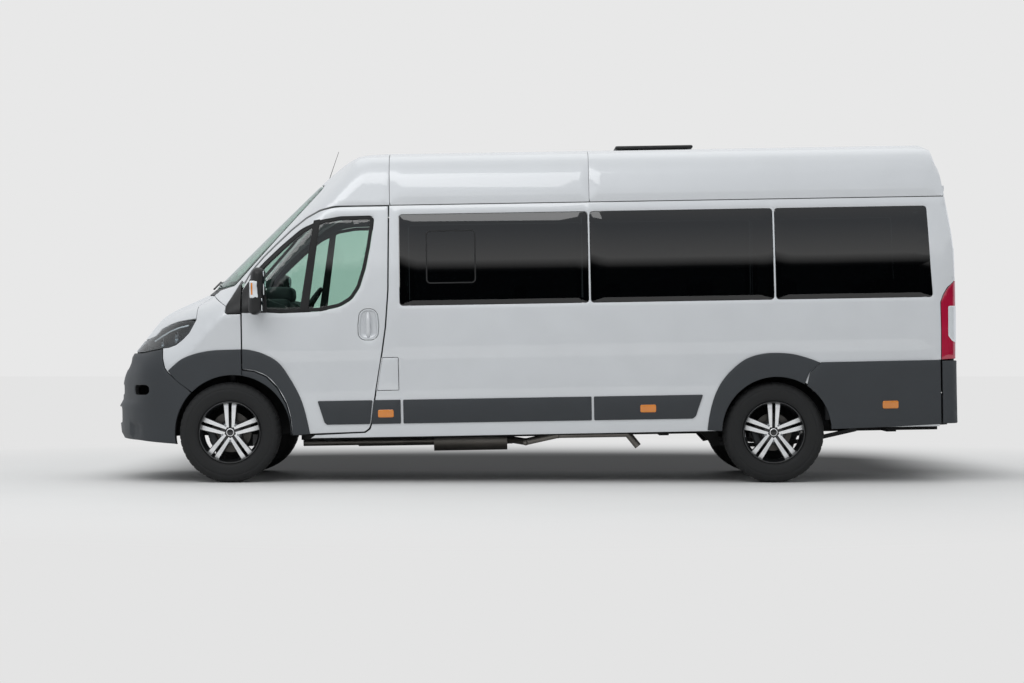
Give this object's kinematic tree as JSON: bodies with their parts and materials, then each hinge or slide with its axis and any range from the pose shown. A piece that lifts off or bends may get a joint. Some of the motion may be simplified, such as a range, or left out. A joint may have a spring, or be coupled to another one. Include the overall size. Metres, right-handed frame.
{
  "type": "minibus",
  "caption": "Long-wheelbase minibus with raised roof, sloping nose, full-length side glazing, hinged cab and rear doors, sliding side door, roof hatch and steerable front wheels.",
  "frame": {"origin": "on the ground at the middle of the overall length and width", "axes": "front toward -X, left side toward -Y, up +Z; the bodywork stands 0.96 degrees nose-down on its springs"},
  "size_m": [6.3698, 2.508, 2.5542],
  "materials": {
    "paint": "gloss",
    "cladding": "fine grain",
    "clear_glass": "clear, slight green tint",
    "dark_glass": "privacy tint",
    "lamp_clear": "clear lens over reflectors",
    "lamp_red": "clear red lens",
    "hatch_plastic": "satin",
    "chassis": "satin black underbody coat",
    "engine_iron": "as cast",
    "hub_iron": "as cast",
    "exhaust_steel": "dull",
    "trim": "grained",
    "seat_fabric": "woven",
    "rim": "machined face, black pockets",
    "tyre": "matt"
  },
  "bodies": {
    "bodywork": {"underbody": "chassis", "left_side_wall": "paint", "right_side_wall": "paint", "roof": "paint", "cab_frame": "paint", "windscreen": "clear_glass", "front_wings": "paint", "front_bumper": "cladding", "grille": "cladding", "headlamps": "lamp_clear", "tail_lamps": "lamp_red", "sliding_door": "paint", "side_windows": "dark_glass", "rear_bumper": "cladding", "body_cladding": "cladding", "engine": "engine_iron", "front_suspension": "chassis", "rear_axle": "chassis", "exhaust": "exhaust_steel", "dashboard": "trim", "steering_wheel": "trim", "seats": "seat_fabric"},
    "left_front_door": {"left_front_door": "paint", "left_front_door_glass": "clear_glass", "left_mirror": "cladding"},
    "right_front_door": {"right_front_door": "paint", "right_front_door_glass": "clear_glass", "right_mirror": "cladding"},
    "left_rear_door": {"left_rear_door": "paint", "left_rear_door_glass": "dark_glass"},
    "right_rear_door": {"right_rear_door": "paint", "right_rear_door_glass": "dark_glass"},
    "bonnet": {"bonnet": "paint"},
    "roof_hatch_lid": {"roof_hatch_lid": "hatch_plastic"},
    "fuel_flap": {"fuel_flap": "paint"},
    "left_knuckle": {"left_knuckle": "hub_iron"},
    "right_knuckle": {"right_knuckle": "hub_iron"},
    "left_front_wheel": {"left_front_rim": "rim", "left_front_tyre": "tyre"},
    "right_front_wheel": {"right_front_rim": "rim", "right_front_tyre": "tyre"},
    "left_rear_wheel": {"left_rear_rim": "rim", "left_rear_tyre": "tyre"},
    "right_rear_wheel": {"right_rear_rim": "rim", "right_rear_tyre": "tyre"}
  },
  "joints": [
    {"name": "left_front_wheel_spin", "type": "hinge", "parent": "left_knuckle", "child": "left_front_wheel", "pos_m": [-2.2335, -0.895, 0.372], "axis": [0, 1, 0], "continuous": true},
    {"name": "right_front_wheel_spin", "type": "hinge", "parent": "right_knuckle", "child": "right_front_wheel", "pos_m": [-2.2335, 0.895, 0.372], "axis": [0, 1, 0], "continuous": true},
    {"name": "left_rear_wheel_spin", "type": "hinge", "parent": "bodywork", "child": "left_rear_wheel", "pos_m": [1.8015, -0.888, 0.372], "axis": [0, 1, 0], "continuous": true},
    {"name": "right_rear_wheel_spin", "type": "hinge", "parent": "bodywork", "child": "right_rear_wheel", "pos_m": [1.8015, 0.888, 0.372], "axis": [0, 1, 0], "continuous": true},
    {"name": "left_steer", "type": "hinge", "parent": "bodywork", "child": "left_knuckle", "pos_m": [-2.2335, -0.875, 0.372], "axis": [0, 0, 1], "range_deg": [-33, 33]},
    {"name": "left_front_door_hinge", "type": "hinge", "parent": "bodywork", "child": "left_front_door", "pos_m": [-2.14894, -1.036, 1.10157], "axis": [0.0168, 0, -0.9999], "range_deg": [0, 68]},
    {"name": "left_rear_door_hinge", "type": "hinge", "parent": "bodywork", "child": "left_rear_door", "pos_m": [3.16428, -0.887, 1.49065], "axis": [0.0168, 0, -0.9999], "range_deg": [0, 180]},
    {"name": "right_steer", "type": "hinge", "parent": "bodywork", "child": "right_knuckle", "pos_m": [-2.2335, 0.875, 0.372], "axis": [0, 0, 1], "range_deg": [-33, 33]},
    {"name": "right_front_door_hinge", "type": "hinge", "parent": "bodywork", "child": "right_front_door", "pos_m": [-2.14894, 1.036, 1.10157], "axis": [-0.0168, 0, 0.9999], "range_deg": [0, 68]},
    {"name": "right_rear_door_hinge", "type": "hinge", "parent": "bodywork", "child": "right_rear_door", "pos_m": [3.16428, 0.887, 1.49065], "axis": [-0.0168, 0, 0.9999], "range_deg": [0, 180]},
    {"name": "bonnet_hinge", "type": "hinge", "parent": "bodywork", "child": "bonnet", "pos_m": [-2.46916, 0, 1.41025], "axis": [0, 1, 0], "range_deg": [0, 48]},
    {"name": "roof_hatch_hinge", "type": "hinge", "parent": "bodywork", "child": "roof_hatch_lid", "pos_m": [1.24452, 0, 2.53463], "axis": [0, 1, 0], "range_deg": [0, 60]},
    {"name": "fuel_flap_hinge", "type": "hinge", "parent": "bodywork", "child": "fuel_flap", "pos_m": [-0.97785, -1.032, 0.80715], "axis": [-0.0168, 0, 0.9999], "range_deg": [0, 95]}
  ],
  "couplings": [
    {"joint": "right_steer", "follows": "left_steer", "ratio": 1}
  ]
}
